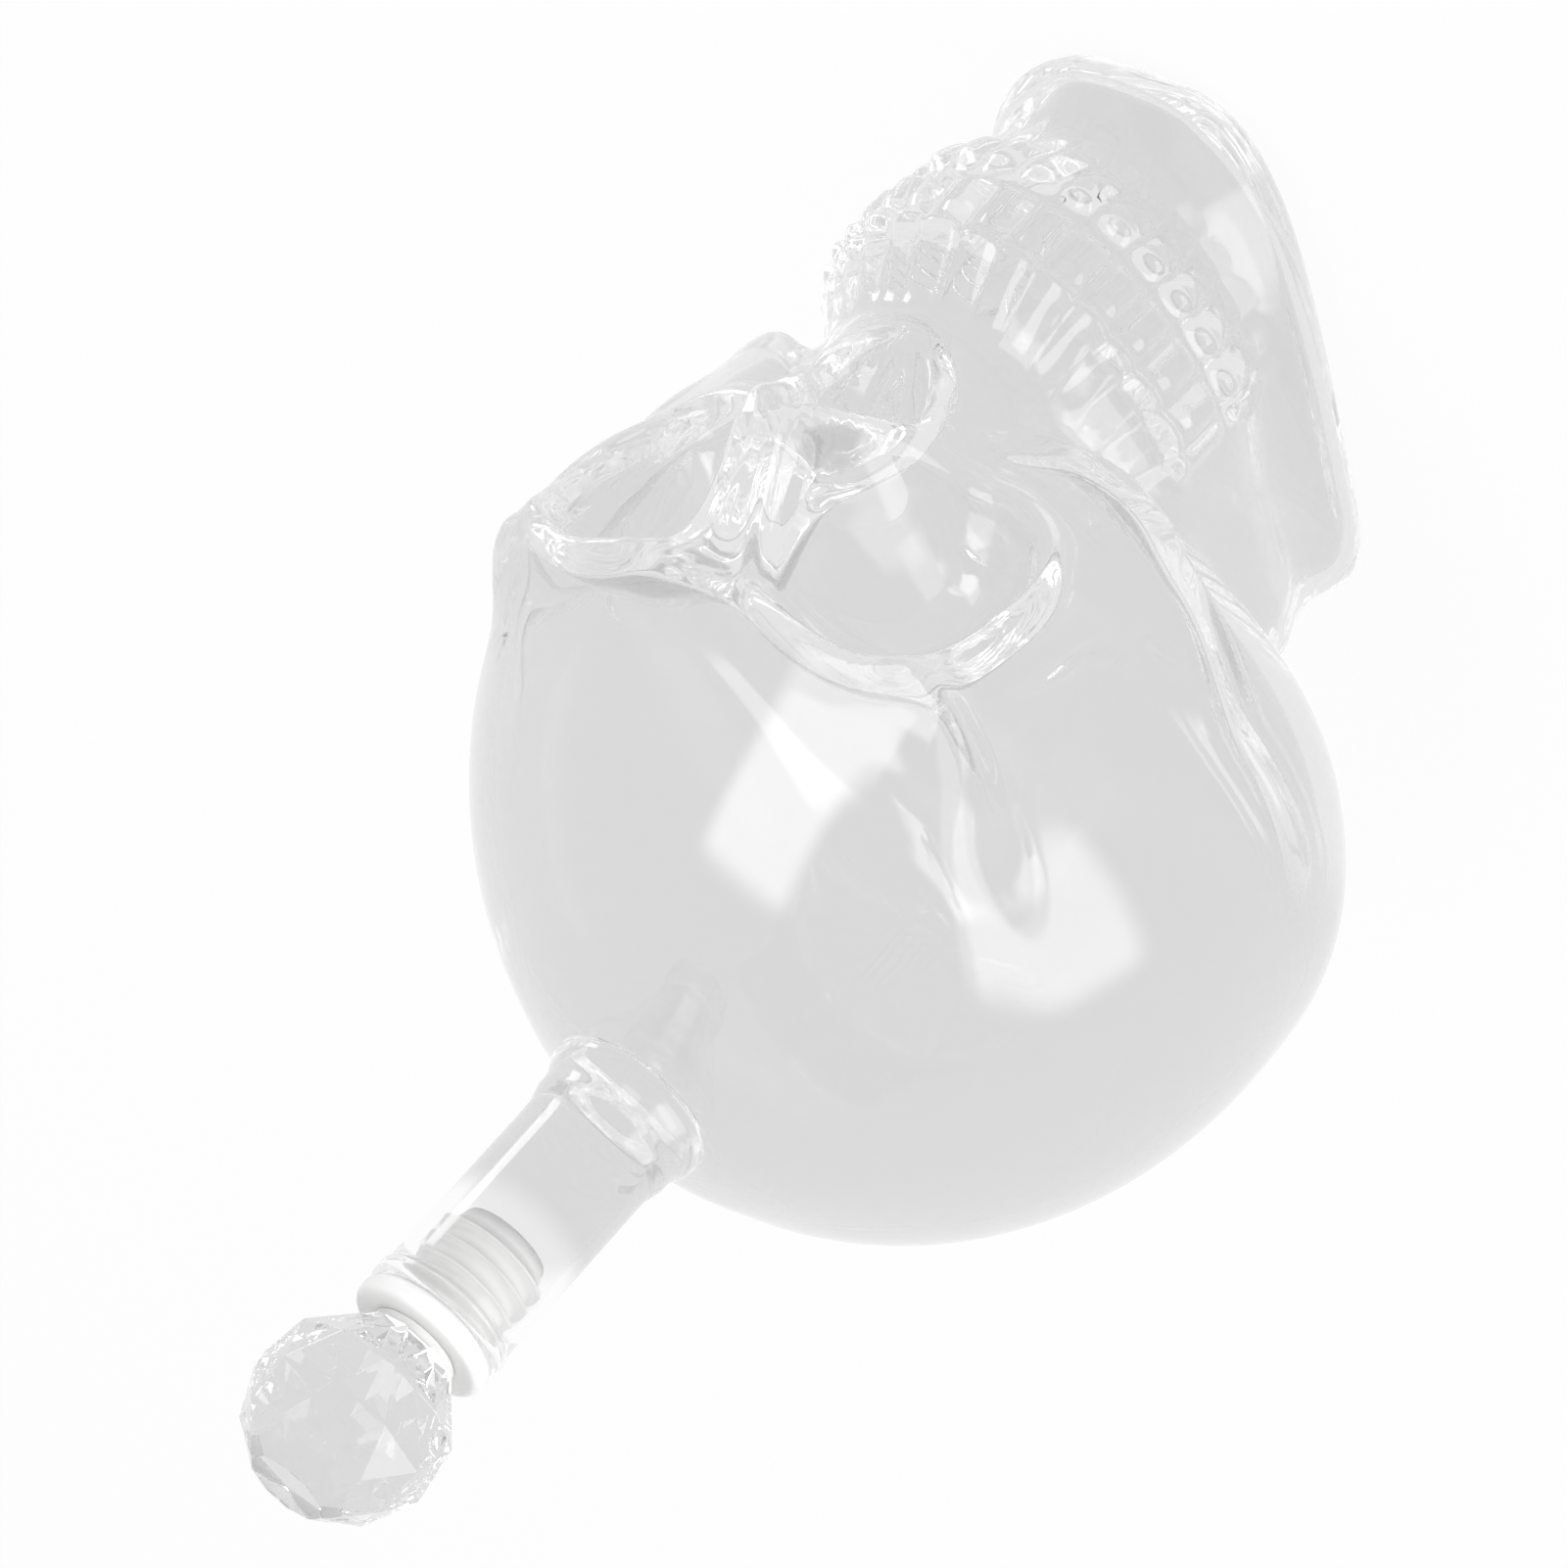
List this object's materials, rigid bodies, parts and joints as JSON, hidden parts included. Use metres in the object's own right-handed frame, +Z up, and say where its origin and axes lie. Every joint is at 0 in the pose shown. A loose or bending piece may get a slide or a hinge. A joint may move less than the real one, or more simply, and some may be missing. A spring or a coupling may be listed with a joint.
{
  "type": "figural skull decanter",
  "caption": "Clear glass decanter in the shape of a human skull standing on its jaw, with a tube neck on the crown and a cut ball stopper on a finned plug, for serving spirits.",
  "frame": {"origin": "on the flat underside of the jaw, straight below the middle of the neck", "axes": "+Z up along the neck, -Y the way the face looks, +X to the side"},
  "size_m": [0.1318, 0.1588, 0.2312],
  "materials": {
    "clear_glass": "clear, polished",
    "cut_glass": "clear, cut in flat facets",
    "soft_plug": "soft, translucent white"
  },
  "bodies": {
    "vessel": {"skull_body": "clear_glass", "neck_tube": "clear_glass"},
    "stopper": {"stopper_plug": "soft_plug", "stopper_ball": "cut_glass"}
  },
  "joints": [
    {"name": "stopper_lift", "type": "slide", "parent": "vessel", "child": "stopper", "axis": [0, 0, 1], "range_m": [0, 0.05]}
  ]
}
